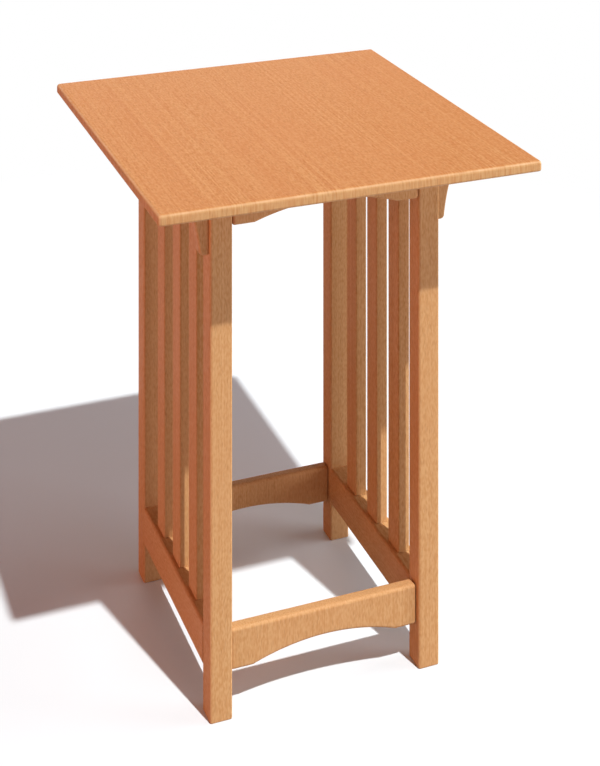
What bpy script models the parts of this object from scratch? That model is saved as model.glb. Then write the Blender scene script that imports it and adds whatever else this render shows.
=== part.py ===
# Slatted side table for the bedside, in solid light wood.
# Metres, +Z up, front towards -Y, origin on the floor under the middle of the top.

import math

import bmesh
import bpy
from mathutils import Matrix, Vector

# Overall sizes
TABLE_HEIGHT = 0.6096
TOP_SIDE = 0.4572
BASE_SIDE = 0.2840

# Top board
TOP_THICK = 0.0125
TOP_ROUND = 0.0035

# Legs
LEG_THICK = 0.0265
LEG_ROUND = 0.0025

# Aprons and side rails under the top
APRON_HEIGHT = 0.0475
APRON_ROUND = 0.0035

# Stretchers and side rails near the floor
STRETCHER_UNDER = 0.0488
STRETCHER_HEIGHT = 0.0468
STRETCHER_THICK = 0.0148
STRETCHER_ROUND = 0.0040
SIDE_RAIL_ROUND = 0.0035

# Arch in the lower edge of aprons and stretchers
ARCH_SPAN = 0.1770
ARCH_RISE = 0.0141
ARCH_STEPS = 16

# Upright slats in each side
SLAT_COUNT = 3
SLAT_WIDTH = 0.0284
SLAT_THICK = 0.0150
SLAT_PITCH = 0.0617
SLAT_ROUND = 0.0015
SLAT_TENON_WIDTH = 0.0200
SLAT_TENON_THICK = 0.0080
SLAT_TENON_LENGTH = 0.0100

# Corbels on the outer faces of the legs
CORBEL_HEIGHT = 0.0783
CORBEL_THICK = 0.0148
CORBEL_TOP_REACH = 0.0310
CORBEL_WAIST_REACH = 0.0145
CORBEL_FOOT_REACH = 0.0105
CORBEL_FOOT_ROUND = 0.0050
CORBEL_EDGE_ROUND = 0.0025
CORBEL_STEPS = 10

# Dowels that hold the corbels
DOWEL_DIAMETER = 0.0060
DOWEL_IN_LEG = 0.0070
DOWEL_IN_CORBEL = 0.0070
DOWEL_LOW = 0.0220
DOWEL_HIGH = 0.0550

# Tenons of aprons, stretchers and rails in the legs
TENON_THICK = 0.0080
TENON_SHOULDER = 0.0050

# Wooden buttons that hold the top down
BUTTON_WIDTH = 0.0260
BUTTON_REACH = 0.0240
BUTTON_THICK = 0.0130
BUTTON_FROM_MIDDLE = 0.0700
BUTTON_ROUND = 0.0010
TONGUE_LENGTH = 0.0065
TONGUE_THICK = 0.0055

# Screws through the buttons
SCREW_DIAMETER = 0.0040
SCREW_HEAD_DIAMETER = 0.0080
SCREW_HEAD_DEPTH = 0.0024
SCREW_HEAD_RIM = 0.0004
SCREW_IN_TOP = 0.0070
SCREW_POINT = 0.0020
SCREW_SLOT_WIDTH = 0.0010
SCREW_SLOT_DEPTH = 0.0012

# Fit and making
JOINT_GAP = 0.0003
CUT_OVERRUN = 0.0020
ROUND_STEPS = 3
FINE_ROUND_STEPS = 4
HOLE_SIDES = 16
SHARP_ANGLE = math.radians(30)

# Levels and places that follow from the sizes
TOP_UNDER = TABLE_HEIGHT - TOP_THICK
FRAME_TOP = TOP_UNDER - JOINT_GAP
APRON_UNDER = FRAME_TOP - APRON_HEIGHT
STRETCHER_TOP = STRETCHER_UNDER + STRETCHER_HEIGHT
BASE_HALF = BASE_SIDE / 2
LEG_INNER = BASE_HALF - LEG_THICK
LEG_MIDDLE = BASE_HALF - LEG_THICK / 2
RAIL_HALF = LEG_INNER - JOINT_GAP
CORBEL_UNDER = FRAME_TOP - CORBEL_HEIGHT

# Colour (linear), roughness and metallic value of each finish
WOOD_COLOURS = {
    "top": (0.72, 0.33, 0.135),
    "frame": (0.68, 0.34, 0.150),
    "rail": (0.66, 0.32, 0.140),
    "slat": (0.67, 0.33, 0.145),
    "trim": (0.65, 0.32, 0.145),
    "dowel": (0.60, 0.38, 0.210),
}
WOOD_ROUGHNESS = 0.42
STEEL_COLOUR = (0.55, 0.54, 0.52)
STEEL_ROUGHNESS = 0.30


def clear_scene():
    for old in list(bpy.data.objects):
        bpy.data.objects.remove(old, do_unlink=True)


def add_holder(name):
    holder = bpy.data.objects.new(name, None)
    bpy.context.scene.collection.objects.link(holder)
    return holder


def add_material(obj, colour, roughness, metallic=0.0):
    material = bpy.data.materials.new(obj.name + "_finish")
    material.use_nodes = True
    shader = material.node_tree.nodes["Principled BSDF"]
    shader.inputs["Base Color"].default_value = (*colour, 1.0)
    shader.inputs["Roughness"].default_value = roughness
    shader.inputs["Metallic"].default_value = metallic
    material.diffuse_color = (*colour, 1.0)
    obj.data.materials.clear()
    obj.data.materials.append(material)


def add_wood(obj, kind):
    add_material(obj, WOOD_COLOURS[kind], WOOD_ROUGHNESS)


def new_object(name, bm):
    bmesh.ops.recalc_face_normals(bm, faces=bm.faces)
    mesh = bpy.data.meshes.new(name)
    bm.to_mesh(mesh)
    bm.free()
    obj = bpy.data.objects.new(name, mesh)
    bpy.context.scene.collection.objects.link(obj)
    return obj


def prism(name, outline, axis, low, high):
    """A closed outline in the plane across axis, drawn out from low to high."""
    place = {
        "X": lambda u, v, along: (along, u, v),
        "Y": lambda u, v, along: (u, along, v),
        "Z": lambda u, v, along: (u, v, along),
    }[axis]
    bm = bmesh.new()
    first = [bm.verts.new(place(u, v, low)) for u, v in outline]
    face = bm.faces.new(first)
    grown = bmesh.ops.extrude_face_region(bm, geom=[face])
    shift = place(0, 0, high - low)
    moved = [item for item in grown["geom"] if isinstance(item, bmesh.types.BMVert)]
    bmesh.ops.translate(bm, verts=moved, vec=shift)
    return new_object(name, bm)


def block(name, x, y, z):
    """A box between the two limits given for each axis, in either order."""
    x0, x1 = sorted(x)
    y0, y1 = sorted(y)
    return prism(name, [(x0, y0), (x1, y0), (x1, y1), (x0, y1)], "Z", *sorted(z))


def turned(name, profile, sides, matrix):
    """A profile of radius and height pairs, turned about Z, then placed by the matrix."""
    bm = bmesh.new()
    points = [bm.verts.new((radius, 0, height)) for radius, height in profile]
    edges = [bm.edges.new(pair) for pair in zip(points, points[1:])]
    bmesh.ops.spin(bm, geom=points + edges, axis=(0, 0, 1), cent=(0, 0, 0),
                   angle=math.tau, steps=sides, use_duplicate=False)
    bmesh.ops.remove_doubles(bm, verts=bm.verts, dist=JOINT_GAP / 10)
    bmesh.ops.transform(bm, matrix=matrix, verts=bm.verts)
    return new_object(name, bm)


def pin(name, diameter, sides, matrix, length):
    """A plain round pin from the matrix's origin along its Z axis."""
    radius = diameter / 2
    return turned(name, [(0, 0), (radius, 0), (radius, length), (0, length)], sides, matrix)


def round_edges(obj, radius, steps, wanted):
    """Rounds the sharp edges that the test accepts by their direction and middle."""
    bm = bmesh.new()
    bm.from_mesh(obj.data)
    chosen = []
    for edge in bm.edges:
        if edge.calc_face_angle() < SHARP_ANGLE:
            continue
        run = (edge.verts[1].co - edge.verts[0].co).normalized()
        middle = (edge.verts[1].co + edge.verts[0].co) / 2
        if wanted(run, middle):
            chosen.append(edge)
    bmesh.ops.bevel(bm, geom=chosen, offset=radius, segments=steps, profile=0.5,
                    affect="EDGES", clamp_overlap=True)
    bm.to_mesh(obj.data)
    bm.free()


def combine(obj, tool, operation):
    """Cuts or joins the tool with the object and takes the tool away."""
    step = obj.modifiers.new(operation.lower(), "BOOLEAN")
    step.operation = operation
    step.solver = "EXACT"
    step.object = tool
    graph = bpy.context.evaluated_depsgraph_get()
    old = obj.data
    obj.data = bpy.data.meshes.new_from_object(obj.evaluated_get(graph))
    obj.modifiers.clear()
    bpy.data.meshes.remove(old)
    bpy.data.objects.remove(tool, do_unlink=True)


def cut(obj, tool):
    combine(obj, tool, "DIFFERENCE")


def join(obj, tool):
    combine(obj, tool, "UNION")


def smooth(obj):
    obj.data.shade_smooth()
    obj.data.set_sharp_from_angle(angle=SHARP_ANGLE)


def settle(obj, holder, origin):
    """Gives a piece its own origin and hangs it on the table's empty."""
    obj.data.transform(Matrix.Translation(-Vector(origin)))
    obj.parent = holder
    obj.location = origin
    smooth(obj)


def rounded_corners(half_x, half_y, radius, steps):
    """Outline of a rectangle about the origin with round corners."""
    outline = []
    for quarter in range(4):
        side_x = 1 if quarter in (0, 3) else -1
        side_y = 1 if quarter in (0, 1) else -1
        for step in range(steps + 1):
            turn = math.radians(90) * (quarter + step / steps)
            outline.append((side_x * (half_x - radius) + radius * math.cos(turn),
                            side_y * (half_y - radius) + radius * math.sin(turn)))
    return outline


def arched_outline(half_length, under, top):
    """Front view of an apron or stretcher: flat ends with a shallow arch between them."""
    half_span = ARCH_SPAN / 2
    radius = (half_span ** 2 + ARCH_RISE ** 2) / (2 * ARCH_RISE)
    centre = under + ARCH_RISE - radius
    reach = math.asin(half_span / radius)
    outline = [(-half_length, under)]
    for step in range(ARCH_STEPS + 1):
        turn = reach * (2 * step / ARCH_STEPS - 1)
        outline.append((radius * math.sin(turn), centre + radius * math.cos(turn)))
    outline += [(half_length, under), (half_length, top), (-half_length, top)]
    return outline


def corbel_outline():
    """Side view of a corbel: reach out from the leg, height above its own foot."""
    foot, waist, head = CORBEL_FOOT_REACH, CORBEL_WAIST_REACH, CORBEL_TOP_REACH
    outline = [(JOINT_GAP, CORBEL_HEIGHT), (JOINT_GAP, 0)]
    centre = (foot - CORBEL_FOOT_ROUND, CORBEL_FOOT_ROUND)
    for step in range(ROUND_STEPS + 1):
        turn = math.radians(90) * step / ROUND_STEPS
        outline.append((centre[0] + CORBEL_FOOT_ROUND * math.sin(turn),
                        centre[1] - CORBEL_FOOT_ROUND * math.cos(turn)))
    rise = CORBEL_HEIGHT - CORBEL_FOOT_ROUND
    for step in range(1, CORBEL_STEPS + 1):
        along = step / CORBEL_STEPS
        back = 1 - along
        reach = foot * back ** 2 + 2 * waist * back * along + head * along ** 2
        outline.append((reach, CORBEL_FOOT_ROUND + rise * along))
    return outline


def mitred_tenon(name, along_x, side_end, side_across, under, top):
    """Tenon at one end of a rail, cut at 45 degrees where it meets its neighbour in the leg."""
    half = TENON_THICK / 2
    middle = side_across * LEG_MIDDLE
    root = side_end * (RAIL_HALF - CUT_OVERRUN)
    short = side_end * (LEG_MIDDLE - half - JOINT_GAP)
    long = side_end * (LEG_MIDDLE + half - JOINT_GAP)
    inner = middle - side_across * half
    outer = middle + side_across * half
    outline = [(root, outer), (long, outer), (short, inner), (root, inner)]
    if not along_x:
        outline = [(across, along) for along, across in outline]
    return prism(name, outline, "Z", under + TENON_SHOULDER, top - TENON_SHOULDER)


def mortise_tool(side_x, side_y, under, top):
    """L-shaped pocket in a leg that takes one tenon from each of its two inner faces."""
    half = TENON_THICK / 2 + JOINT_GAP
    near = LEG_MIDDLE - half
    far = LEG_MIDDLE + half
    mouth = LEG_INNER - CUT_OVERRUN
    outline = [(mouth, near), (near, near), (near, mouth), (far, mouth), (far, far), (mouth, far)]
    outline = [(side_x * x, side_y * y) for x, y in outline]
    return prism("mortise_tool", outline, "Z", under + TENON_SHOULDER - JOINT_GAP,
                 top - TENON_SHOULDER + JOINT_GAP)


def x_matrix(x, y, z, side):
    """Placing that points a pin's Z axis along +X or -X."""
    return Matrix.Translation((x, y, z)) @ Matrix.Rotation(side * math.radians(90), 4, "Y")


def slat_places():
    middle = (SLAT_COUNT - 1) / 2
    return [(index - middle) * SLAT_PITCH for index in range(SLAT_COUNT)]


def dowel_heights():
    return [CORBEL_UNDER + DOWEL_LOW, CORBEL_UNDER + DOWEL_HIGH]


def build_tabletop(holder):
    half = TOP_SIDE / 2
    board = block("tabletop", (-half, half), (-half, half), (TOP_UNDER, TABLE_HEIGHT))
    round_edges(board, TOP_ROUND, FINE_ROUND_STEPS, lambda run, middle: True)
    for side_x in (-1, 1):
        for side_y in (-1, 1):
            x, y = screw_place(side_x, side_y)
            depth = SCREW_IN_TOP + JOINT_GAP + CUT_OVERRUN
            cut(board, pin("pilot_tool", SCREW_DIAMETER + 2 * JOINT_GAP, HOLE_SIDES,
                           Matrix.Translation((x, y, TOP_UNDER - CUT_OVERRUN)), depth))
    add_wood(board, "top")
    settle(board, holder, (0, 0, TOP_UNDER))


def build_leg(holder, name, side_x, side_y):
    half = LEG_THICK / 2
    outline = [(side_x * LEG_MIDDLE + x, side_y * LEG_MIDDLE + y)
               for x, y in rounded_corners(half, half, LEG_ROUND, ROUND_STEPS)]
    leg = prism(name, outline, "Z", 0, FRAME_TOP)
    cut(leg, mortise_tool(side_x, side_y, APRON_UNDER, FRAME_TOP))
    cut(leg, mortise_tool(side_x, side_y, STRETCHER_UNDER, STRETCHER_TOP))
    for height in dowel_heights():
        start = side_x * (BASE_HALF + CUT_OVERRUN)
        depth = CUT_OVERRUN + DOWEL_IN_LEG + JOINT_GAP
        cut(leg, pin("dowel_tool", DOWEL_DIAMETER + 2 * JOINT_GAP, HOLE_SIDES,
                     x_matrix(start, side_y * LEG_MIDDLE, height, -side_x), depth))
    add_wood(leg, "frame")
    settle(leg, holder, (side_x * LEG_MIDDLE, side_y * LEG_MIDDLE, 0))


def build_arched(holder, name, side_y, thick, face, radius, under, top, rounded_top):
    """Apron or stretcher between two legs, with a mitred tenon at each end."""
    faces = sorted((side_y * face, side_y * (face - thick)))
    rail = prism(name, arched_outline(RAIL_HALF, under, top), "Y", *faces)
    round_edges(rail, radius, ROUND_STEPS,
                lambda run, middle: rounded_top or middle.z < top - JOINT_GAP)
    for side_x in (-1, 1):
        join(rail, mitred_tenon("tenon_tool", True, side_x, side_y, under, top))
    add_wood(rail, "rail")
    settle(rail, holder, (0, side_y * (face - thick / 2), under))


def build_side_rail(name, side_x, under, top, radius, socket_level, socket_up):
    """Straight rail between a front and a back leg, with a socket for each slat."""
    rail = block(name, (side_x * LEG_INNER, side_x * BASE_HALF), (-RAIL_HALF, RAIL_HALF), (under, top))
    round_edges(rail, radius, ROUND_STEPS,
                lambda run, middle: abs(run.y) > abs(run.z) and middle.z < FRAME_TOP - JOINT_GAP)
    for side_y in (-1, 1):
        join(rail, mitred_tenon("tenon_tool", False, side_y, side_x, under, top))
    half_x = SLAT_TENON_THICK / 2 + JOINT_GAP
    half_y = SLAT_TENON_WIDTH / 2 + JOINT_GAP
    mouth = socket_level - socket_up * CUT_OVERRUN
    end = socket_level + socket_up * (SLAT_TENON_LENGTH + JOINT_GAP)
    for y in slat_places():
        cut(rail, block("socket_tool", (side_x * LEG_MIDDLE - half_x, side_x * LEG_MIDDLE + half_x),
                        (y - half_y, y + half_y), (mouth, end)))
    return rail


def build_upper_rail(holder, name, side_x):
    rail = build_side_rail(name, side_x, APRON_UNDER, FRAME_TOP, APRON_ROUND,
                           APRON_UNDER, 1)
    half = BUTTON_WIDTH / 2 + JOINT_GAP
    bottom = LEG_INNER + TONGUE_LENGTH + JOINT_GAP
    for side_y in (-1, 1):
        y = side_y * BUTTON_FROM_MIDDLE
        cut(rail, block("groove_tool",
                        (side_x * (LEG_INNER - CUT_OVERRUN), side_x * bottom), (y - half, y + half),
                        (button_under() - JOINT_GAP, button_under() + TONGUE_THICK + JOINT_GAP)))
    add_wood(rail, "rail")
    settle(rail, holder, (side_x * LEG_MIDDLE, 0, APRON_UNDER))


def build_lower_rail(holder, name, side_x):
    rail = build_side_rail(name, side_x, STRETCHER_UNDER, STRETCHER_TOP, SIDE_RAIL_ROUND,
                           STRETCHER_TOP, -1)
    add_wood(rail, "rail")
    settle(rail, holder, (side_x * LEG_MIDDLE, 0, STRETCHER_UNDER))


def build_slat(holder, name, side_x, y):
    x = side_x * LEG_MIDDLE
    outline = [(x + u, y + v) for u, v in
               rounded_corners(SLAT_THICK / 2, SLAT_WIDTH / 2, SLAT_ROUND, ROUND_STEPS)]
    slat = prism(name, outline, "Z", STRETCHER_TOP + JOINT_GAP, APRON_UNDER - JOINT_GAP)
    half_x = SLAT_TENON_THICK / 2
    half_y = SLAT_TENON_WIDTH / 2
    join(slat, block("core_tool", (x - half_x, x + half_x), (y - half_y, y + half_y),
                     (STRETCHER_TOP - SLAT_TENON_LENGTH, APRON_UNDER + SLAT_TENON_LENGTH)))
    add_wood(slat, "slat")
    settle(slat, holder, (x, y, STRETCHER_TOP))


def build_corbel(holder, name, side_x, side_y):
    outline = [(side_x * (BASE_HALF + reach), CORBEL_UNDER + height)
               for reach, height in corbel_outline()]
    low = side_y * LEG_MIDDLE - CORBEL_THICK / 2
    corbel = prism(name, outline, "Y", low, low + CORBEL_THICK)
    seat = BASE_HALF + JOINT_GAP * 2
    head = FRAME_TOP - JOINT_GAP
    round_edges(corbel, CORBEL_EDGE_ROUND, ROUND_STEPS,
                lambda run, middle: abs(middle.x) > seat and middle.z < head and abs(run.y) < 0.5)
    for height in dowel_heights():
        start = side_x * (BASE_HALF - CUT_OVERRUN)
        depth = CUT_OVERRUN + DOWEL_IN_CORBEL + JOINT_GAP
        cut(corbel, pin("dowel_tool", DOWEL_DIAMETER + 2 * JOINT_GAP, HOLE_SIDES,
                        x_matrix(start, side_y * LEG_MIDDLE, height, side_x), depth))
    add_wood(corbel, "trim")
    settle(corbel, holder, (side_x * BASE_HALF, side_y * LEG_MIDDLE, CORBEL_UNDER))


def build_dowel(holder, name, side_x, side_y, height):
    start = side_x * (BASE_HALF - DOWEL_IN_LEG)
    dowel = pin(name, DOWEL_DIAMETER, HOLE_SIDES, x_matrix(start, side_y * LEG_MIDDLE, height, side_x),
                DOWEL_IN_LEG + DOWEL_IN_CORBEL)
    add_wood(dowel, "dowel")
    settle(dowel, holder, (side_x * BASE_HALF, side_y * LEG_MIDDLE, height))


def button_under():
    return TOP_UNDER - JOINT_GAP - BUTTON_THICK


def screw_place(side_x, side_y):
    return (side_x * (RAIL_HALF - BUTTON_REACH / 2), side_y * BUTTON_FROM_MIDDLE)


def screw_profile(grow):
    """Half outline of a countersunk screw from its head up, with room around it as asked."""
    head = SCREW_HEAD_DIAMETER / 2 + grow
    shank = SCREW_DIAMETER / 2 + grow
    length = BUTTON_THICK + JOINT_GAP + SCREW_IN_TOP
    return [(0, 0), (head, 0), (head, SCREW_HEAD_RIM), (shank, SCREW_HEAD_DEPTH),
            (shank, length - SCREW_POINT), (0, length)]


def build_button(holder, name, side_x, side_y):
    y = side_y * BUTTON_FROM_MIDDLE
    under = button_under()
    spread = (y - BUTTON_WIDTH / 2, y + BUTTON_WIDTH / 2)
    face = side_x * RAIL_HALF
    button = block(name, (face, face - side_x * BUTTON_REACH), spread, (under, under + BUTTON_THICK))
    round_edges(button, BUTTON_ROUND, ROUND_STEPS,
                lambda run, middle: abs(middle.x) < RAIL_HALF - JOINT_GAP)
    tongue = block("tongue_tool", (face - side_x * CUT_OVERRUN, side_x * (LEG_INNER + TONGUE_LENGTH)),
                   (spread[0] + JOINT_GAP, spread[1] - JOINT_GAP),
                   (under + JOINT_GAP, under + TONGUE_THICK))
    join(button, tongue)
    x, y = screw_place(side_x, side_y)
    hole = SCREW_DIAMETER + 2 * JOINT_GAP
    cut(button, pin("hole_tool", hole, HOLE_SIDES, Matrix.Translation((x, y, under - CUT_OVERRUN)),
                    BUTTON_THICK + 2 * CUT_OVERRUN))
    sink = SCREW_HEAD_DIAMETER / 2 + JOINT_GAP
    profile = [(0, -CUT_OVERRUN), (sink, -CUT_OVERRUN), (sink, SCREW_HEAD_RIM + JOINT_GAP),
               (hole / 2, SCREW_HEAD_DEPTH + JOINT_GAP), (0, SCREW_HEAD_DEPTH + JOINT_GAP)]
    cut(button, turned("sink_tool", profile, HOLE_SIDES, Matrix.Translation((x, y, under))))
    add_wood(button, "trim")
    settle(button, holder, (x, y, under))


def build_screw(holder, name, side_x, side_y):
    x, y = screw_place(side_x, side_y)
    under = button_under()
    screw = turned(name, screw_profile(0), HOLE_SIDES, Matrix.Translation((x, y, under)))
    half_long = SCREW_HEAD_DIAMETER / 4
    half_slot = SCREW_SLOT_WIDTH / 2
    level = (under - CUT_OVERRUN, under + SCREW_SLOT_DEPTH)
    cross = block("cross_tool", (x - half_long, x + half_long), (y - half_slot, y + half_slot), level)
    join(cross, block("cross_arm", (x - half_slot, x + half_slot), (y - half_long, y + half_long), level))
    cut(screw, cross)
    add_material(screw, STEEL_COLOUR, STEEL_ROUGHNESS, 1.0)
    settle(screw, holder, (x, y, under))


SIDES = {"left": -1, "right": 1}
ENDS = {"front": -1, "back": 1}


def build_table():
    clear_scene()
    table = add_holder("table")
    build_tabletop(table)
    for end, side_y in ENDS.items():
        build_arched(table, end + "_apron", side_y, LEG_THICK, BASE_HALF, APRON_ROUND,
                     APRON_UNDER, FRAME_TOP, False)
        build_arched(table, end + "_stretcher", side_y, STRETCHER_THICK, LEG_MIDDLE + STRETCHER_THICK / 2,
                     STRETCHER_ROUND, STRETCHER_UNDER, STRETCHER_TOP, True)
    for side, side_x in SIDES.items():
        build_upper_rail(table, side + "_upper_rail", side_x)
        build_lower_rail(table, side + "_lower_rail", side_x)
        for index, y in enumerate(slat_places()):
            build_slat(table, f"{side}_slat_{index + 1}", side_x, y)
        for end, side_y in ENDS.items():
            corner = f"{end}_{side}"
            build_leg(table, corner + "_leg", side_x, side_y)
            build_corbel(table, corner + "_corbel", side_x, side_y)
            for level, height in zip(("low", "high"), dowel_heights()):
                build_dowel(table, f"{corner}_{level}_dowel", side_x, side_y, height)
            build_button(table, corner + "_button", side_x, side_y)
            build_screw(table, corner + "_screw", side_x, side_y)


build_table()
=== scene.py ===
import math

import bmesh
import bpy
import numpy as np
from mathutils import Matrix, Vector


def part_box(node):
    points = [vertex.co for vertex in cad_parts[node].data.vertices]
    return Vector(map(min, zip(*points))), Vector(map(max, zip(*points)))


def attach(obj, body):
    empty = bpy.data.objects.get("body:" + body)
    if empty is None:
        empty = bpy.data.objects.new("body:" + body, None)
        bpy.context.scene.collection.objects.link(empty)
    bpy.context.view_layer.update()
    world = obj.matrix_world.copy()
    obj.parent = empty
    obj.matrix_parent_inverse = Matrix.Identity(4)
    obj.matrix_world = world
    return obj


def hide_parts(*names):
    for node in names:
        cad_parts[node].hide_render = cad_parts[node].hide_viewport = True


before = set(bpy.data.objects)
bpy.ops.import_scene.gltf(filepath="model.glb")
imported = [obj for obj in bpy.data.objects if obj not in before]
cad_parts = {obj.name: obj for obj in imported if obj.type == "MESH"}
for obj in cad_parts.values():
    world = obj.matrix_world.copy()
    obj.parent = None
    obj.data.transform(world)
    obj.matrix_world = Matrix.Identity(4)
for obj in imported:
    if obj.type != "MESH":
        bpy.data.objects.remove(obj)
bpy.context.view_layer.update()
print("frame loaded:", len(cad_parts), "pieces")

sides = {"left": -1, "right": 1}
ends = {"front": -1, "back": 1}

bench = {
    "weld": 0.00002,  # points closer than this become one
    "touch": 0.00001,  # how near a plane an edge counts as lying in it
    "easedFrom": 30,  # degrees between two faces, from which their edge can be eased
    "sharpFrom": 35,  # degrees, from which an edge is shaded as sharp
    "roundSteps": 32,  # facets round a screw
    "pinSteps": 24,  # facets round a bore
}


photoView = {
    "place": (-0.69757, -1.75012, 1.25710),  # metres, in the table's own frame
    "turn": 19.808,  # degrees to the right of straight back
    "focalPixels": 1532.73,
    "straightAhead": (229.82, -408.41),  # pixel that the level line of sight meets
    "picture": (600, 766),
    "sensor": 36.0,
    "seesAsFar": 60,
}


def setUpCamera(v):
    wide, high = v["picture"]
    turn = math.radians(v["turn"])
    right = Vector((math.cos(turn), -math.sin(turn), 0))
    ahead = Vector((math.sin(turn), math.cos(turn), 0))
    up = Vector((0, 0, 1))
    middle = ((wide - 1) / 2, (high - 1) / 2)
    toMiddle = (ahead * v["focalPixels"] + right * (middle[0] - v["straightAhead"][0])
                - up * (middle[1] - v["straightAhead"][1]))
    look = toMiddle.normalized()
    camera = bpy.data.objects.new("camera", bpy.data.cameras.new("camera"))
    bpy.context.scene.collection.objects.link(camera)
    camera.data.lens = toMiddle.length * v["sensor"] / max(wide, high)
    camera.data.sensor_width = v["sensor"]
    camera.data.clip_end = v["seesAsFar"]
    # uprights stay upright in the picture, so the picture's plane stands straight
    holder = bpy.data.objects.new("cameraHolder", None)
    bpy.context.scene.collection.objects.link(holder)
    m = Matrix.Identity(4)
    for row in range(3):
        m[row][0], m[row][1], m[row][2], m[row][3] = right[row], up[row], -look[row], v["place"][row]
    camera.parent = holder
    camera.matrix_parent_inverse = m
    bpy.context.scene.camera = camera


setUpCamera(photoView)
bpy.context.scene.view_settings.view_transform = "Standard"
print("camera set")


def makePiece(name, bm):
    bmesh.ops.recalc_face_normals(bm, faces=bm.faces)
    mesh = bpy.data.meshes.new(name)
    bm.to_mesh(mesh)
    bm.free()
    piece = bpy.data.objects.new(name, mesh)
    bpy.context.scene.collection.objects.link(piece)
    return piece


def drawOut(outline, axis, low, high):
    # an outline in the plane across the axis, drawn out from low to high
    place = {"X": lambda u, v, w: (w, u, v),
             "Y": lambda u, v, w: (u, w, v),
             "Z": lambda u, v, w: (u, v, w)}[axis]
    bm = bmesh.new()
    face = bm.faces.new([bm.verts.new(place(u, v, low)) for u, v in outline])
    grown = bmesh.ops.extrude_face_region(bm, geom=[face])
    moved = [item for item in grown["geom"] if isinstance(item, bmesh.types.BMVert)]
    bmesh.ops.translate(bm, verts=moved, vec=place(0, 0, high - low))
    bmesh.ops.recalc_face_normals(bm, faces=bm.faces)
    return bm


def sawBlock(low, high):
    x0, y0, z0 = (min(a, b) for a, b in zip(low, high))
    x1, y1, z1 = (max(a, b) for a, b in zip(low, high))
    return drawOut([(x0, y0), (x1, y0), (x1, y1), (x0, y1)], "Z", z0, z1)


def turnRound(profile, steps, matrix):
    bm = bmesh.new()
    points = [bm.verts.new((radius, 0, height)) for radius, height in profile]
    edges = [bm.edges.new(pair) for pair in zip(points, points[1:])]
    bmesh.ops.spin(bm, geom=points + edges, axis=(0, 0, 1), cent=(0, 0, 0),
                   angle=math.tau, steps=steps, use_duplicate=False)
    bmesh.ops.remove_doubles(bm, verts=bm.verts, dist=bench["weld"])
    bmesh.ops.transform(bm, matrix=matrix, verts=bm.verts)
    bmesh.ops.recalc_face_normals(bm, faces=bm.faces)
    return bm


def easeEdges(bm, radius, steps, pick):
    # rounds over the sharp edges that the test picks by their direction and middle
    chosen = []
    for edge in bm.edges:
        if len(edge.link_faces) < 2 or edge.calc_face_angle() < math.radians(bench["easedFrom"]):
            continue
        run = (edge.verts[1].co - edge.verts[0].co).normalized()
        if pick(run, (edge.verts[1].co + edge.verts[0].co) / 2):
            chosen.append(edge)
    bmesh.ops.bevel(bm, geom=chosen, offset=radius, segments=steps, profile=0.5,
                    affect="EDGES", clamp_overlap=True)
    return bm


def joinery(piece, bm, kind):
    # cuts a pocket in the piece, or joins a tenon to it
    tool = makePiece("tool", bm)
    step = piece.modifiers.new("joint", "BOOLEAN")
    step.operation = kind
    step.solver = "EXACT"
    step.object = tool
    old = piece.data
    piece.data = bpy.data.meshes.new_from_object(
        piece.evaluated_get(bpy.context.evaluated_depsgraph_get()))
    piece.modifiers.clear()
    bpy.data.meshes.remove(old)
    bpy.data.objects.remove(tool)


def cutPocket(piece, bm):
    joinery(piece, bm, "DIFFERENCE")


def joinTenon(piece, bm):
    joinery(piece, bm, "UNION")


grainMarks = {
    "slowdown": 0.12,  # how much slower the figure changes on the coarse axis
    "arrisTurn": 0.293,  # how far the surface has turned at the middle of a rounded edge
    "wornFrom": 0.25,  # share of that turn from which an edge looks worn
    "flat": 0.999,
    "upperPower": 6,  # keeps the tint of the upper face off its rounded edges
}


def readPoints(mesh, what):
    found = np.empty(len(mesh.vertices) * 3, np.float32)
    mesh.vertices.foreach_get(what, found)
    return found.reshape(-1, 3)


def writeMark(mesh, name, values):
    mark = mesh.attributes.new(name, "FLOAT", "POINT")
    mark.data.foreach_set("value", values.astype(np.float32))


def markGrain(piece, along, coarse, heart, tone=0.0, grooveShade=0.0):
    # grain runs along one axis; on the coarse axis the figure hardly changes
    v = grainMarks
    mesh = piece.data
    count = len(mesh.vertices)
    places = readPoints(mesh, "co")
    axes = {"X": 0, "Y": 1, "Z": 2}
    run = axes[along]
    across = [axis for axis in (0, 1, 2) if axis != run]
    if coarse and axes[coarse] == across[0]:
        across.reverse()
    squeeze = v["slowdown"] if coarse else 1.0
    grain = np.stack([places[:, across[0]], places[:, across[1]] * squeeze, places[:, run]], 1)
    grain += np.array(heart, np.float32)
    mark = mesh.attributes.new("grain", "FLOAT_VECTOR", "POINT")
    mark.data.foreach_set("vector", grain.astype(np.float32).ravel())
    # how far each point lies on a rounded edge, where hands and cloths polish it; the edges are also
    # painted paler there, partly wear and partly a painted highlight
    normals = readPoints(mesh, "normal")
    turned = 1 - np.abs(normals).max(1)
    eased = np.clip((turned / v["arrisTurn"] - v["wornFrom"]) / (1 - v["wornFrom"]), 0, 1)
    for polygon in mesh.polygons:
        if max(abs(part) for part in polygon.normal) > v["flat"]:
            eased[list(polygon.vertices)] = 0
    writeMark(mesh, "eased", eased)
    # only the board has a coarse axis; its upper face gets a painted warm light, a redder tint than its
    # edges
    upper = np.clip(normals[:, 2], 0, 1) ** v["upperPower"] * (1.0 if coarse == "Z" else 0.0)
    writeMark(mesh, "upper", upper)
    # painted shade darkens the groove between a rounded end and the leg
    deep = np.zeros(count)
    if grooveShade:
        deep = np.clip((np.abs(places[:, 0]) - railEnd() + grooveShade) / grooveShade, 0, 1)
    writeMark(mesh, "grooveShade", deep)
    writeMark(mesh, "tone", np.full(count, tone, np.float32))


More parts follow.
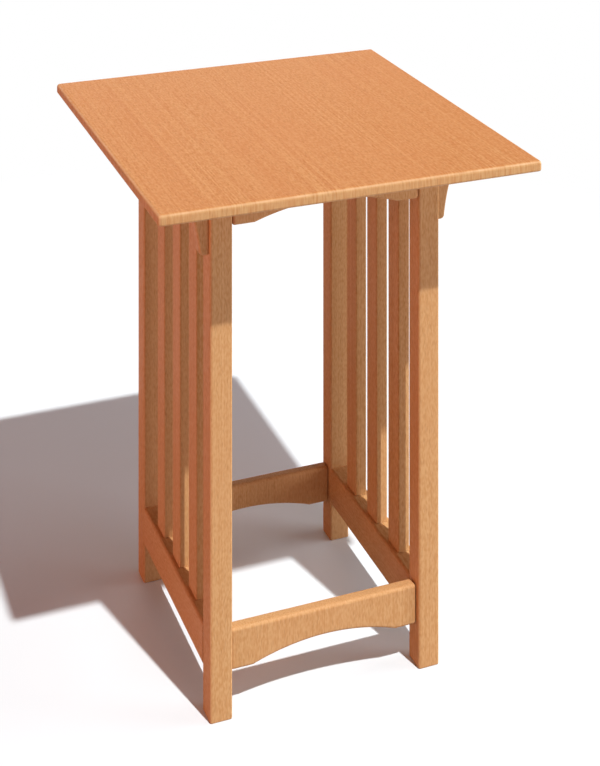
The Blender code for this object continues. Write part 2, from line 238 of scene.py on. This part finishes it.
def fitPiece(piece, node, material):
    piece.data.materials.clear()
    piece.data.materials.append(material)
    piece.data.shade_smooth()
    piece.data.set_sharp_from_angle(angle=math.radians(bench["sharpFrom"]))
    even = piece.modifiers.new("evenShading", "WEIGHTED_NORMAL")
    even.keep_sharp = True
    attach(piece, "root")
    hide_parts(node)


def shownName(node):
    first, *rest = node.split("_")
    return first + "".join(word.capitalize() for word in rest) + "Wood"


def addNode(tree, kind, inputs=None, **settings):
    node = tree.nodes.new(kind)
    for key, value in settings.items():
        setattr(node, key, value)
    for key, value in (inputs or {}).items():
        if isinstance(value, bpy.types.NodeSocket):
            tree.links.new(value, node.inputs[key])
        else:
            node.inputs[key].default_value = value
    return node


def calc(tree, operation, *values):
    return addNode(tree, "ShaderNodeMath", dict(enumerate(values)), operation=operation).outputs[0]


def stretch(tree, vector, scale):
    return addNode(tree, "ShaderNodeVectorMath", {0: vector, 1: scale}, operation="MULTIPLY").outputs[0]


def cloud(tree, vector, detail, rough=0.5):
    return addNode(tree, "ShaderNodeTexNoise", {"Vector": vector, "Scale": 1.0, "Detail": detail,
                                                "Roughness": rough}).outputs["Fac"]


cloudSpan = (0.3, 0.7)  # nearly all of a cloud's values lie between these
cloudMost = (0.35, 0.65)  # and most of them between these


def spread(tree, value, low, high, toLow=0.0, toHigh=1.0):
    return addNode(tree, "ShaderNodeMapRange", {"Value": value, "From Min": low, "From Max": high,
                                                "To Min": toLow, "To Max": toHigh}).outputs[0]


def blendColour(tree, amount, first, second, kind="MIX"):
    node = addNode(tree, "ShaderNodeMix", {"Factor": amount}, data_type="RGBA", blend_type=kind)
    for socket, value in ((node.inputs[6], first), (node.inputs[7], second)):
        if isinstance(value, bpy.types.NodeSocket):
            tree.links.new(value, socket)
        else:
            socket.default_value = (*value, 1)
    return node.outputs[2]


def woodFinish(name, look):
    material = bpy.data.materials.new(name)
    material.use_nodes = True
    tree = material.node_tree
    shader = tree.nodes["Principled BSDF"]
    grain = addNode(tree, "ShaderNodeAttribute", attribute_name="grain").outputs["Vector"]
    eased, tone, upper, grooveShade = (addNode(tree, "ShaderNodeAttribute", attribute_name=mark).outputs["Fac"]
                                  for mark in ("eased", "tone", "upper", "grooveShade"))

    # fibres wander a little to either side on their way along the board
    drift = addNode(tree, "ShaderNodeTexNoise", {"Vector": stretch(tree, grain, look["driftScale"]),
                                                 "Scale": 1.0, "Detail": 2.0}).outputs["Color"]
    drift = addNode(tree, "ShaderNodeVectorMath", {0: drift, 1: (0.5, 0.5, 0.5)},
                    operation="SUBTRACT").outputs[0]
    drift = stretch(tree, drift, (look["wander"], look["wander"], 0))
    fibre = addNode(tree, "ShaderNodeVectorMath", {0: grain, 1: drift}, operation="ADD").outputs[0]

    # growth rings round the heart, which lies outside the board
    fromHeart = addNode(tree, "ShaderNodeVectorMath", {0: stretch(tree, fibre, (1, 1, 0))},
                        operation="LENGTH").outputs["Value"]
    ringUneven = cloud(tree, stretch(tree, fibre, look["ringStirScale"]), 1.0)
    rings = calc(tree, "ADD", calc(tree, "MULTIPLY", fromHeart, 1 / look["ringWidth"]),
                 calc(tree, "MULTIPLY", ringUneven, look["ringStir"]))
    rings = calc(tree, "FRACT", rings)
    ringEnd = spread(tree, rings, look["lateWoodFrom"], 1.0, 1, 0)
    rings = calc(tree, "MULTIPLY", calc(tree, "POWER", rings, 2.0), ringEnd)

    bands = cloud(tree, stretch(tree, fibre, look["bandScale"]), 2.0, 0.6)
    # long straight lines, strong in some strips of the board and faint in others
    lines = spread(tree, cloud(tree, stretch(tree, fibre, look["lineScale"]), 0.5), *cloudSpan, -0.5, 0.5)
    strips = spread(tree, cloud(tree, stretch(tree, grain, look["stripScale"]), 1.0), *cloudMost,
                    look["faintStrip"], 1.0)
    lines = calc(tree, "MULTIPLY", lines, strips)
    flecks = cloud(tree, stretch(tree, fibre, look["fleckScale"]), 0.5)
    fibres = cloud(tree, stretch(tree, fibre, look["fibreScale"]), 2.0, 0.6)
    poreCells = addNode(tree, "ShaderNodeTexVoronoi", {"Vector": stretch(tree, fibre, look["poreScale"]),
                                                       "Scale": 1.0})
    pores = spread(tree, poreCells.outputs["Distance"],
                   look["poreSize"], look["poreSize"] * look["poreCore"])
    someCells = addNode(tree, "ShaderNodeSeparateColor", {"Color": poreCells.outputs["Color"]}).outputs[0]
    noPore = 1 - look["poreShare"]
    pores = calc(tree, "MULTIPLY", pores, spread(tree, someCells, noPore, noPore + 0.1))

    dark = calc(tree, "MULTIPLY", rings, look["ringDark"])
    dark = calc(tree, "ADD", dark, calc(tree, "MULTIPLY", lines, look["lineDark"]))
    for layer, strength in ((bands, "bandDark"), (flecks, "fleckDark"), (fibres, "fibreDark")):
        half = look[strength] / 2
        dark = calc(tree, "ADD", dark, spread(tree, layer, *cloudSpan, -half, half))
    dark = addNode(tree, "ShaderNodeMath", {0: dark, 1: calc(tree, "ADD", tone, look["middleDark"])},
                   operation="ADD", use_clamp=True).outputs[0]
    colour = blendColour(tree, dark, look["pale"], look["deep"])
    patches = spread(tree, cloud(tree, stretch(tree, grain, look["patchScale"]), 2.0), *cloudMost)
    colour = blendColour(tree, calc(tree, "MULTIPLY", patches, look["patchShare"]), colour, look["blush"])
    colour = blendColour(tree, calc(tree, "MULTIPLY", pores, look["poreDark"]), colour, look["pore"])
    rubbed = spread(tree, cloud(tree, stretch(tree, grain, look["wornScale"]), 3.0), *cloudMost,
                    look["leastWorn"], 1.0)
    wearAndHighlight = calc(tree, "MULTIPLY", eased, rubbed)
    # rounded edges painted paler: partly wear, partly a painted highlight along the arris
    colour = blendColour(tree, calc(tree, "MULTIPLY", wearAndHighlight, look["edgeWearAndHighlight"]), colour, look["edge"])
    # painted warm light: the board's upper face is tinted redder, as light falling from above would make it
    colour = blendColour(tree, upper, colour, look["upperTint"], "MULTIPLY")
    # painted shade: the groove at the rails' ends is tinted darker and redder
    colour = blendColour(tree, grooveShade, colour, look["grooveShadeTint"], "MULTIPLY")
    tree.links.new(colour, shader.inputs["Base Color"])

    roughSpan = (look["rough"] - look["fleckRough"], look["rough"] + look["fleckRough"])
    rough = calc(tree, "ADD", spread(tree, flecks, *cloudSpan, *roughSpan),
                 calc(tree, "MULTIPLY", pores, look["poreRough"]))
    rough = calc(tree, "SUBTRACT", rough, calc(tree, "MULTIPLY", wearAndHighlight, look["edgePolish"]))
    tree.links.new(rough, shader.inputs["Roughness"])
    shine = calc(tree, "ADD", look["shine"], calc(tree, "MULTIPLY", wearAndHighlight, look["edgeShine"]))
    tree.links.new(shine, shader.inputs["Specular IOR Level"])

    height = calc(tree, "SUBTRACT", calc(tree, "MULTIPLY", fibres, look["fibreHigh"]), pores)
    height = calc(tree, "SUBTRACT", height, calc(tree, "MULTIPLY", rings, look["ringDeep"]))
    bump = addNode(tree, "ShaderNodeBump", {"Strength": look["bump"], "Distance": look["bumpHigh"],
                                            "Height": height})
    tree.links.new(bump.outputs[0], shader.inputs["Normal"])
    return material


frameLook = {
    "pale": (0.660, 0.405, 0.188), "deep": (0.520, 0.259, 0.091), "blush": (0.613, 0.327, 0.142),
    "pore": (0.32, 0.150, 0.057), "edge": (0.71, 0.445, 0.218),
    # scales are waves per metre, the last one along the grain
    "driftScale": (9, 9, 3.5), "wander": 0.0012,
    "ringStirScale": (60, 60, 1.5), "ringStir": 1.6,
    "ringWidth": 0.0062, "ringDark": 0.07, "lateWoodFrom": 0.8,
    "bandScale": (90, 90, 1.8), "bandDark": 0.05,
    "stripScale": (30, 30, 3), "faintStrip": 0.35, "lineScale": (600, 600, 1.2), "lineDark": 0.5,
    "fleckScale": (590, 590, 205), "fleckDark": 0.58, "fibreScale": (1300, 1300, 40), "fibreDark": 0.2,
    "poreScale": (640, 640, 105), "poreSize": 0.44, "poreCore": 0.45, "poreShare": 0.4, "poreDark": 0.25,
    "middleDark": 0.45, "patchScale": (11, 11, 4), "patchShare": 0.35,
    "wornScale": (40, 40, 25), "leastWorn": 0.35, "edgeWearAndHighlight": 0.15, "edgePolish": 0.04, "edgeShine": 0.12,
    "rough": 0.44, "fleckRough": 0.05, "poreRough": 0.12, "shine": 0.03,
    "bump": 0.35, "bumpHigh": 0.0002, "fibreHigh": 0.4, "ringDeep": 0.2,
    "upperTint": (1.105, 0.85, 0.715), "grooveShadeTint": (0.78, 0.48, 0.36),
}
# the board's rounded edges are painted much paler, mostly a painted highlight along the arris and partly
# wear
topLook = dict(frameLook, pale=(0.660, 0.424, 0.197), deep=(0.520, 0.235, 0.080),
               edge=(0.82, 0.57, 0.33), edgeWearAndHighlight=0.75, rough=0.5,
               lineScale=(440, 440, 1.0), lineDark=0.46, bandDark=0.03, ringDark=0.05,
               fleckScale=(440, 440, 195), fleckDark=0.44)
dowelLook = dict(frameLook, pale=(0.74, 0.52, 0.32), deep=(0.56, 0.36, 0.19), blush=(0.66, 0.44, 0.25),
                 rough=0.6)

frameWood = woodFinish("satinFrameWood", frameLook)
topWood = woodFinish("satinTopWood", topLook)
dowelWood = woodFinish("rawDowelWood", dowelLook)
print("wood finishes mixed")


joints = {
    "gap": 0.0003,  # in place of the glue line
    "shoulderGap": 0.00004,  # so that no dark line shows at the shoulders
    "overrun": 0.002,  # how far a cut starts outside the piece, or a tenon inside it
    "tenonThick": 0.008,
    "tenonShoulder": 0.005,
    "slatTenonWide": 0.020,
    "slatTenonThick": 0.008,
    "tongueThick": 0.0055,
    "dowelAcross": 0.006,
    "screwAcross": 0.004,
    "screwHeadAcross": 0.008,
    "screwHeadDeep": 0.0024,
    "screwHeadRim": 0.0004,
}


def legMiddle(sideX, sideY):
    low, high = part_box(f"{'front' if sideY < 0 else 'back'}_{'left' if sideX < 0 else 'right'}_leg")
    return (low + high) / 2, (high.x - low.x) / 2


def railEnd():
    # where the shoulders of all rails stand, just off the legs
    middle, half = legMiddle(1, 1)
    return middle.x - half - joints["shoulderGap"]


def mitredTenon(alongX, sideEnd, sideAcross, low, high):
    half = joints["tenonThick"] / 2
    middle = legMiddle(1, 1)[0].x
    root = sideEnd * (railEnd() - joints["overrun"])
    short, long = (sideEnd * (middle + reach - joints["gap"]) for reach in (-half, half))
    inner, outer = (sideAcross * (middle + reach) for reach in (-half, half))
    outline = [(root, outer), (long, outer), (short, inner), (root, inner)]
    if not alongX:
        outline = [(b, a) for a, b in outline]
    shoulder = joints["tenonShoulder"]
    return drawOut(outline, "Z", low + shoulder, high - shoulder)


def roundPin(across, length, matrix):
    radius = across / 2
    return turnRound([(0, 0), (radius, 0), (radius, length), (0, length)], bench["pinSteps"], matrix)


def pointAlongX(x, y, z, side):
    return Matrix.Translation((x, y, z)) @ Matrix.Rotation(side * math.radians(90), 4, "Y")


topBoard = {"arris": 0.0041, "underArris": 0.0029, "arrisSteps": 9, "heart": (0.31, 0.0, 1.7)}


def makeTop(v):
    low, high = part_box("tabletop")
    underside = low.z + bench["touch"]
    bm = sawBlock(low, high)
    easeEdges(bm, v["arris"], v["arrisSteps"], lambda run, middle: middle.z > underside)
    easeEdges(bm, v["underArris"], v["arrisSteps"], lambda run, middle: middle.z < underside)
    board = makePiece(shownName("tabletop"), bm)
    for end in ends:
        for side in sides:
            a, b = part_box(f"{end}_{side}_screw")
            hole = joints["screwAcross"] + 2 * joints["gap"]
            start = Matrix.Translation(((a.x + b.x) / 2, (a.y + b.y) / 2, low.z - joints["overrun"]))
            cutPocket(board, roundPin(hole, b.z - low.z + joints["gap"] + joints["overrun"], start))
    markGrain(board, "Y", "Z", v["heart"])
    fitPiece(board, "tabletop", topWood)


makeTop(topBoard)
print("top board made")


legs = {
    "arris": 0.0025, "arrisSteps": 6, "footEase": 0.0008, "footSteps": 2,
    # where the heart of each leg's log lay, and how much darker its wood is
    "wood": {("front", "left"): ((0.09, 0.05, 0.2), 0.0),
             ("front", "right"): ((-0.12, 0.07, 1.3), 0.03),
             ("back", "left"): ((0.07, -0.11, 2.4), -0.02),
             ("back", "right"): ((-0.08, -0.1, 3.1), 0.02)},
}


def makeLeg(end, side, v, heart, tone):
    node = f"{end}_{side}_leg"
    sideX, sideY = sides[side], ends[end]
    low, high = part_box(node)
    bm = easeEdges(sawBlock(low, high), v["arris"], v["arrisSteps"], lambda run, middle: abs(run.z) > 0.5)
    easeEdges(bm, v["footEase"], v["footSteps"], lambda run, middle: middle.z < low.z + bench["touch"])
    leg = makePiece(shownName(node), bm)
    middle = (low + high) / 2
    half = joints["tenonThick"] / 2 + joints["gap"]
    mouth = abs(middle.x) - (high.x - low.x) / 2 - joints["overrun"]
    near, far = abs(middle.x) - half, abs(middle.x) + half
    pocket = [(mouth, near), (near, near), (near, mouth), (far, mouth), (far, far), (mouth, far)]
    for rail in ("apron", "stretcher"):
        a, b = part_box(f"{end}_{rail}")
        cutPocket(leg, drawOut([(sideX * x, sideY * y) for x, y in pocket], "Z",
                               a.z + joints["tenonShoulder"] - joints["gap"],
                               b.z - joints["tenonShoulder"] + joints["gap"]))
    for level in ("low", "high"):
        a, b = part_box(f"{end}_{side}_{level}_dowel")
        face = sideX * (abs(middle.x) + (high.x - low.x) / 2 + joints["overrun"])
        deep = abs(face) - min(abs(a.x), abs(b.x)) + joints["gap"]
        cutPocket(leg, roundPin(joints["dowelAcross"] + 2 * joints["gap"], deep,
                                pointAlongX(face, middle.y, (a.z + b.z) / 2, -sideX)))
    markGrain(leg, "Z", None, heart, tone)
    fitPiece(leg, node, frameWood)


for (end, side), (heart, tone) in legs["wood"].items():
    makeLeg(end, side, legs, heart, tone)
print("legs made")


archedRails = {
    "apron": {"arris": 0.0035, "arrisSteps": 6, "archSpan": 0.177, "archRise": 0.0141, "archSteps": 44,
              "roundTop": False, "grooveShade": 0.0035,
              "wood": {"front": ((0.35, 0.02, 4.2), 0.02), "back": ((0.45, 0.06, 5.3), -0.02)}},
    "stretcher": {"arris": 0.004, "arrisSteps": 7, "archSpan": 0.177, "archRise": 0.0141, "archSteps": 44,
                  "roundTop": True, "grooveShade": 0.0,
                  "wood": {"front": ((-0.36, 0.01, 6.1), 0.0), "back": ((-0.41, 0.05, 7.4), 0.02)}},
}


def makeArchedRail(end, kind, v, heart, tone):
    node = f"{end}_{kind}"
    low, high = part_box(node)
    length = railEnd()
    span = v["archSpan"] / 2
    radius = (span ** 2 + v["archRise"] ** 2) / (2 * v["archRise"])
    centre = low.z + v["archRise"] - radius
    reach = math.asin(span / radius)
    outline = [(-length, low.z)]
    for step in range(v["archSteps"] + 1):
        turn = reach * (2 * step / v["archSteps"] - 1)
        outline.append((radius * math.sin(turn), centre + radius * math.cos(turn)))
    outline += [(length, low.z), (length, high.z), (-length, high.z)]
    bm = drawOut(outline, "Y", low.y, high.y)
    easeEdges(bm, v["arris"], v["arrisSteps"],
              lambda run, middle: v["roundTop"] or middle.z < high.z - bench["touch"])
    rail = makePiece(shownName(node), bm)
    for sideX in sides.values():
        joinTenon(rail, mitredTenon(True, sideX, ends[end], low.z, high.z))
    markGrain(rail, "Z", None, heart, tone, v["grooveShade"])  # its streaks run upright, like a leg's
    fitPiece(rail, node, frameWood)


for kind, values in archedRails.items():
    for end, (heart, tone) in values["wood"].items():
        makeArchedRail(end, kind, values, heart, tone)
print("aprons and stretchers made")


sideRails = {
    "upper": {"arris": 0.0035, "arrisSteps": 6,
              "wood": {"left": ((0.11, 0.08, 8.1), 0.0), "right": ((0.08, -0.11, 9.2), 0.02)}},
    "lower": {"arris": 0.0035, "arrisSteps": 6,
              "wood": {"left": ((-0.1, 0.09, 10.3), 0.01), "right": ((0.12, 0.07, 11.4), -0.01)}},
}


def makeSideRail(side, level, v, heart, tone):
    node = f"{side}_{level}_rail"
    sideX = sides[side]
    low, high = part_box(node)
    length = railEnd()
    bm = sawBlock((low.x, -length, low.z), (high.x, length, high.z))
    # the upper edges of the upper rails are hidden under the board and stay square
    squareFrom = high.z - bench["touch"] if level == "upper" else math.inf
    easeEdges(bm, v["arris"], v["arrisSteps"],
              lambda run, middle: abs(run.y) > 0.5 and middle.z <= squareFrom)
    rail = makePiece(shownName(node), bm)
    for sideY in ends.values():
        joinTenon(rail, mitredTenon(False, sideY, sideX, low.z, high.z))
    for index in (1, 2, 3):
        a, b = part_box(f"{side}_slat_{index}")
        middle = (a + b) / 2
        halfX = joints["slatTenonThick"] / 2 + joints["gap"]
        halfY = joints["slatTenonWide"] / 2 + joints["gap"]
        mouth, bottom = ((low.z - joints["overrun"], b.z + joints["gap"]) if level == "upper"
                         else (high.z + joints["overrun"], a.z - joints["gap"]))
        cutPocket(rail, sawBlock((middle.x - halfX, middle.y - halfY, mouth),
                                 (middle.x + halfX, middle.y + halfY, bottom)))
    if level == "upper":
        inner = sideX * min(abs(low.x), abs(high.x))
        for end in ends:
            a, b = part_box(f"{end}_{side}_button")
            gap = joints["gap"]
            outer = sideX * (max(abs(a.x), abs(b.x)) + gap)
            cutPocket(rail, sawBlock((inner - sideX * joints["overrun"], a.y - gap, a.z - gap),
                                     (outer, b.y + gap, a.z + joints["tongueThick"] + gap)))
    markGrain(rail, "Y", None, heart, tone)
    fitPiece(rail, node, frameWood)


for level, values in sideRails.items():
    for side, (heart, tone) in values["wood"].items():
        makeSideRail(side, level, values, heart, tone)
print("side rails made")


slats = {
    "arris": 0.0015, "arrisSteps": 5,
    "heart": (0.1, 0.08, 12), "heartMoves": (0.01, -0.013, 1), "nextSlat": 0.37, "otherSide": 2.0,
    "toneSpread": 0.05, "toneTurn": 5,
}


def makeSlat(side, number, v):
    node = f"{side}_slat_{number}"
    low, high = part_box(node)
    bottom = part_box(f"{side}_lower_rail")[1].z + joints["gap"]
    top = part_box(f"{side}_upper_rail")[0].z - joints["gap"]
    bm = easeEdges(sawBlock((low.x, low.y, bottom), (high.x, high.y, top)), v["arris"], v["arrisSteps"],
                   lambda run, middle: abs(run.z) > 0.5)
    slat = makePiece(shownName(node), bm)
    middle = (low + high) / 2
    halfX, halfY = joints["slatTenonThick"] / 2, joints["slatTenonWide"] / 2
    joinTenon(slat, sawBlock((middle.x - halfX, middle.y - halfY, low.z),
                             (middle.x + halfX, middle.y + halfY, high.z)))
    shift = number * v["nextSlat"] + (v["otherSide"] if side == "right" else 0.0)
    heart = [start + shift * move for start, move in zip(v["heart"], v["heartMoves"])]
    markGrain(slat, "Z", None, heart, v["toneSpread"] * math.sin(shift * v["toneTurn"]))
    fitPiece(slat, node, frameWood)


for side in sides:
    for number in (1, 2, 3):
        makeSlat(side, number, slats)
print("slats made")


corbels = {
    "foot": 0.0105, "waist": 0.0145, "head": 0.031, "footRound": 0.005,
    "arris": 0.0025, "arrisSteps": 6, "footSteps": 8, "curveSteps": 24,
    "heart": (0.13, 0.06, 20), "heartMoves": (1, -1, 9), "nextCorbel": 0.03, "tone": 0.02,
}


def makeCorbel(end, side, v, shift):
    node = f"{end}_{side}_corbel"
    sideX = sides[side]
    low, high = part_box(node)
    seat = min(abs(low.x), abs(high.x))
    face = seat - joints["gap"]  # the leg's own face
    bend, height = v["footRound"], high.z - low.z
    profile = [(seat - face, height), (seat - face, 0)]
    for step in range(v["footSteps"] + 1):
        turn = math.radians(90) * step / v["footSteps"]
        profile.append((v["foot"] - bend + bend * math.sin(turn), bend - bend * math.cos(turn)))
    for step in range(1, v["curveSteps"] + 1):
        t = step / v["curveSteps"]
        reach = v["foot"] * (1 - t) ** 2 + 2 * v["waist"] * (1 - t) * t + v["head"] * t ** 2
        profile.append((reach, bend + (height - bend) * t))
    bm = drawOut([(sideX * (face + reach), low.z + up) for reach, up in profile], "Y", low.y, high.y)
    # only the edges of the free outline are eased, not those on the leg or under the board
    onLeg, underBoard = seat + bench["touch"], high.z - bench["touch"]
    easeEdges(bm, v["arris"], v["arrisSteps"],
              lambda run, middle: abs(middle.x) > onLeg and middle.z < underBoard and abs(run.y) < 0.5)
    corbel = makePiece(shownName(node), bm)
    for level in ("low", "high"):
        a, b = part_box(f"{end}_{side}_{level}_dowel")
        start = sideX * (face - joints["overrun"])
        deep = max(abs(a.x), abs(b.x)) - abs(start) + joints["gap"]
        cutPocket(corbel, roundPin(joints["dowelAcross"] + 2 * joints["gap"], deep,
                                   pointAlongX(start, (a.y + b.y) / 2, (a.z + b.z) / 2, sideX)))
    heart = [start + shift * move for start, move in zip(v["heart"], v["heartMoves"])]
    markGrain(corbel, "Z", None, heart, v["tone"])
    fitPiece(corbel, node, frameWood)


for index, (end, side) in enumerate((end, side) for end in ends for side in sides):
    makeCorbel(end, side, corbels, index * corbels["nextCorbel"])
print("corbels made")


buttons = {
    "arris": 0.001, "arrisSteps": 4,
    "heart": (0.1, 0.09, 24), "heartMoves": (1, 0, 7), "nextButton": 0.05, "tone": 0.03,
}


def makeButton(end, side, v, shift):
    node = f"{end}_{side}_button"
    sideX = sides[side]
    low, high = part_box(node)
    gap = joints["gap"]
    face = sideX * railEnd()
    inner = sideX * min(abs(low.x), abs(high.x))
    bm = sawBlock((inner, low.y, low.z), (face, high.y, high.z))
    easeEdges(bm, v["arris"], v["arrisSteps"], lambda run, middle: abs(middle.x) < railEnd() - gap)
    button = makePiece(shownName(node), bm)
    joinTenon(button, sawBlock((face - sideX * joints["overrun"], low.y + gap, low.z + gap),
                               (sideX * max(abs(low.x), abs(high.x)), high.y - gap,
                                low.z + joints["tongueThick"])))
    a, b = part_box(f"{end}_{side}_screw")
    x, y = (a.x + b.x) / 2, (a.y + b.y) / 2
    over = joints["overrun"]
    cutPocket(button, roundPin(joints["screwAcross"] + 2 * gap, high.z - low.z + 2 * over,
                               Matrix.Translation((x, y, low.z - over))))
    sink, hole = joints["screwHeadAcross"] / 2 + gap, joints["screwAcross"] / 2 + gap
    cutPocket(button, turnRound([(0, -over), (sink, -over), (sink, joints["screwHeadRim"] + gap),
                                 (hole, joints["screwHeadDeep"] + gap), (0, joints["screwHeadDeep"] + gap)],
                                bench["roundSteps"], Matrix.Translation((x, y, low.z))))
    heart = [start + shift * move for start, move in zip(v["heart"], v["heartMoves"])]
    markGrain(button, "X", None, heart, v["tone"])
    fitPiece(button, node, frameWood)


steelLook = {
    "dark": (0.50, 0.49, 0.47), "bright": (0.66, 0.65, 0.63), "stainScale": (2600, 2600, 2600),
    "markScale": (900, 6000, 900), "rough": (0.24, 0.42), "bump": 0.2, "bumpHigh": 0.00003,
}


def brushedSteel(look):
    material = bpy.data.materials.new("brushedScrewSteel")
    material.use_nodes = True
    tree = material.node_tree
    shader = tree.nodes["Principled BSDF"]
    place = addNode(tree, "ShaderNodeTexCoord").outputs["Object"]
    stains = cloud(tree, stretch(tree, place, look["stainScale"]), 4.0)
    marks = cloud(tree, stretch(tree, place, look["markScale"]), 2.0)
    colour = blendColour(tree, spread(tree, stains, *cloudSpan), look["dark"], look["bright"])
    tree.links.new(colour, shader.inputs["Base Color"])
    tree.links.new(spread(tree, marks, *cloudSpan, *look["rough"]), shader.inputs["Roughness"])
    shader.inputs["Metallic"].default_value = 1.0
    bump = addNode(tree, "ShaderNodeBump", {"Strength": look["bump"], "Distance": look["bumpHigh"],
                                            "Height": marks})
    tree.links.new(bump.outputs[0], shader.inputs["Normal"])
    return material


screwSteel = brushedSteel(steelLook)

screws = {"slotWide": 0.001, "slotDeep": 0.0012, "point": 0.002, "rimEase": 0.00015}


def makeScrew(end, side, v):
    node = f"{end}_{side}_screw"
    low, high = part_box(node)
    x, y = (low.x + high.x) / 2, (low.y + high.y) / 2
    head, shank = joints["screwHeadAcross"] / 2, joints["screwAcross"] / 2
    length = high.z - low.z
    profile = [(0, 0), (head - v["rimEase"], 0), (head, v["rimEase"]), (head, joints["screwHeadRim"]),
               (shank, joints["screwHeadDeep"]), (shank, length - v["point"]), (0, length)]
    turned = turnRound(profile, bench["roundSteps"], Matrix.Translation((x, y, low.z)))
    screw = makePiece(shownName(node).replace("Wood", "Steel"), turned)
    long, thin = head / 2, v["slotWide"] / 2
    for halfX, halfY in ((long, thin), (thin, long)):
        cutPocket(screw, sawBlock((x - halfX, y - halfY, low.z - joints["overrun"]),
                                  (x + halfX, y + halfY, low.z + v["slotDeep"])))
    fitPiece(screw, node, screwSteel)


for index, (end, side) in enumerate((end, side) for end in ends for side in sides):
    makeButton(end, side, buttons, index * buttons["nextButton"])
    makeScrew(end, side, screws)

dowels = {"heart": (0.05, 0.05, 30)}

for end in ends:
    for side in sides:
        for level in ("low", "high"):
            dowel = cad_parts[f"{end}_{side}_{level}_dowel"]
            markGrain(dowel, "X", None, dowels["heart"])
            dowel.data.materials.clear()
            dowel.data.materials.append(dowelWood)
print("buttons, screws and dowels made")


studio = {
    "floorSeen": (0.84, 0.92, 0.95), "floorBounce": (0.35, 0.29, 0.28), "floorMottle": (3, 3, 3),
    "mottleDark": 0.97, "floorRough": 0.75, "floorShine": 0.2,
    "floorSize": 14.0, "floorBelow": 0.0004,
    "floorFades": (0.75, 1.5),  # metres from the table, from floor to white backdrop
    "sunStrength": 3.2, "sunFrom": (0.1418, -0.5495, 1.0), "sunSoft": 1.2,
    "skyColour": (1.0, 0.5, 0.4), "skyStrength": 0.08,
    "boxSize": (2.4, 1.4), "boxesFace": (0, 0, 0.35),
    "softboxes": {  # watts, colour, place
        "frontBox": (21.0, (1.0, 1.06, 1.27), (0.9, -3.6, 0.75)),
        "leftBox": (47.5, (1.0, 0.345, 0.235), (-3.4, -0.4, 0.75)),
        "rightBox": (96.0, (1.0, 1.0, 1.05), (3.4, -0.8, 0.75)),
        "backBox": (36.0, (1.0, 1.0, 1.0), (0.6, 3.6, 0.75)),
    },
}


def seenDirectly(tree):
    ray = addNode(tree, "ShaderNodeLightPath")
    mirrored = calc(tree, "MAXIMUM", ray.outputs["Is Glossy Ray"], ray.outputs["Is Transmission Ray"])
    return calc(tree, "MAXIMUM", ray.outputs["Is Camera Ray"], mirrored)


def layFloor(v):
    bm = bmesh.new()
    bmesh.ops.create_grid(bm, x_segments=8, y_segments=8, size=v["floorSize"] / 2)
    mesh = bpy.data.meshes.new("floor")
    bm.to_mesh(mesh)
    bm.free()
    floor = bpy.data.objects.new("floor", mesh)
    bpy.context.scene.collection.objects.link(floor)
    floor.location.z = -v["floorBelow"]
    material = bpy.data.materials.new("paleFloor")
    material.use_nodes = True
    tree = material.node_tree
    shader = tree.nodes["Principled BSDF"]
    place = addNode(tree, "ShaderNodeTexCoord").outputs["Object"]
    mottle = cloud(tree, stretch(tree, place, v["floorMottle"]), 3.0)
    darker = tuple(part * v["mottleDark"] for part in v["floorSeen"])
    seen = blendColour(tree, mottle, darker, v["floorSeen"])
    colour = blendColour(tree, seenDirectly(tree), v["floorBounce"], seen)
    tree.links.new(colour, shader.inputs["Base Color"])
    shader.inputs["Roughness"].default_value = v["floorRough"]
    shader.inputs["Specular IOR Level"].default_value = v["floorShine"]
    fade = addNode(tree, "ShaderNodeVectorMath", {0: place}, operation="LENGTH").outputs["Value"]
    fade = calc(tree, "MULTIPLY", spread(tree, fade, *v["floorFades"]), seenDirectly(tree))
    white = addNode(tree, "ShaderNodeEmission", {"Color": (1, 1, 1, 1), "Strength": 1.0})
    both = addNode(tree, "ShaderNodeMixShader", {0: fade, 1: shader.outputs[0], 2: white.outputs[0]})
    tree.links.new(both.outputs[0], tree.nodes["Material Output"].inputs["Surface"])
    material.cycles.emission_sampling = "NONE"
    mesh.materials.append(material)


def aimAt(place, target):
    return (Vector(place) - Vector(target)).to_track_quat("Z", "Y").to_euler()


def hangLights(v):
    sun = bpy.data.objects.new("sun", bpy.data.lights.new("sun", "SUN"))
    sun.data.energy = v["sunStrength"]
    sun.data.angle = math.radians(v["sunSoft"])
    sun.rotation_euler = aimAt(v["sunFrom"], (0, 0, 0))
    bpy.context.scene.collection.objects.link(sun)
    for name, (watts, colour, place) in v["softboxes"].items():
        lamp = bpy.data.objects.new(name, bpy.data.lights.new(name, "AREA"))
        lamp.data.energy = watts
        lamp.data.shape = "RECTANGLE"
        lamp.data.size, lamp.data.size_y = v["boxSize"]
        lamp.data.color = colour
        lamp.location = place
        lamp.rotation_euler = aimAt(place, v["boxesFace"])
        bpy.context.scene.collection.objects.link(lamp)
    world = bpy.data.worlds.new("studio")
    bpy.context.scene.world = world
    world.use_nodes = True
    tree = world.node_tree
    sky = tree.nodes["Background"]
    sky.inputs["Color"].default_value = (*v["skyColour"], 1)
    sky.inputs["Strength"].default_value = v["skyStrength"]
    white = addNode(tree, "ShaderNodeBackground", {"Color": (1, 1, 1, 1), "Strength": 1.0})
    both = addNode(tree, "ShaderNodeMixShader", {0: seenDirectly(tree), 1: sky.outputs[0],
                                                 2: white.outputs[0]})
    tree.links.new(both.outputs[0], tree.nodes["World Output"].inputs["Surface"])


layFloor(studio)
hangLights(studio)
print("floor and lights set")
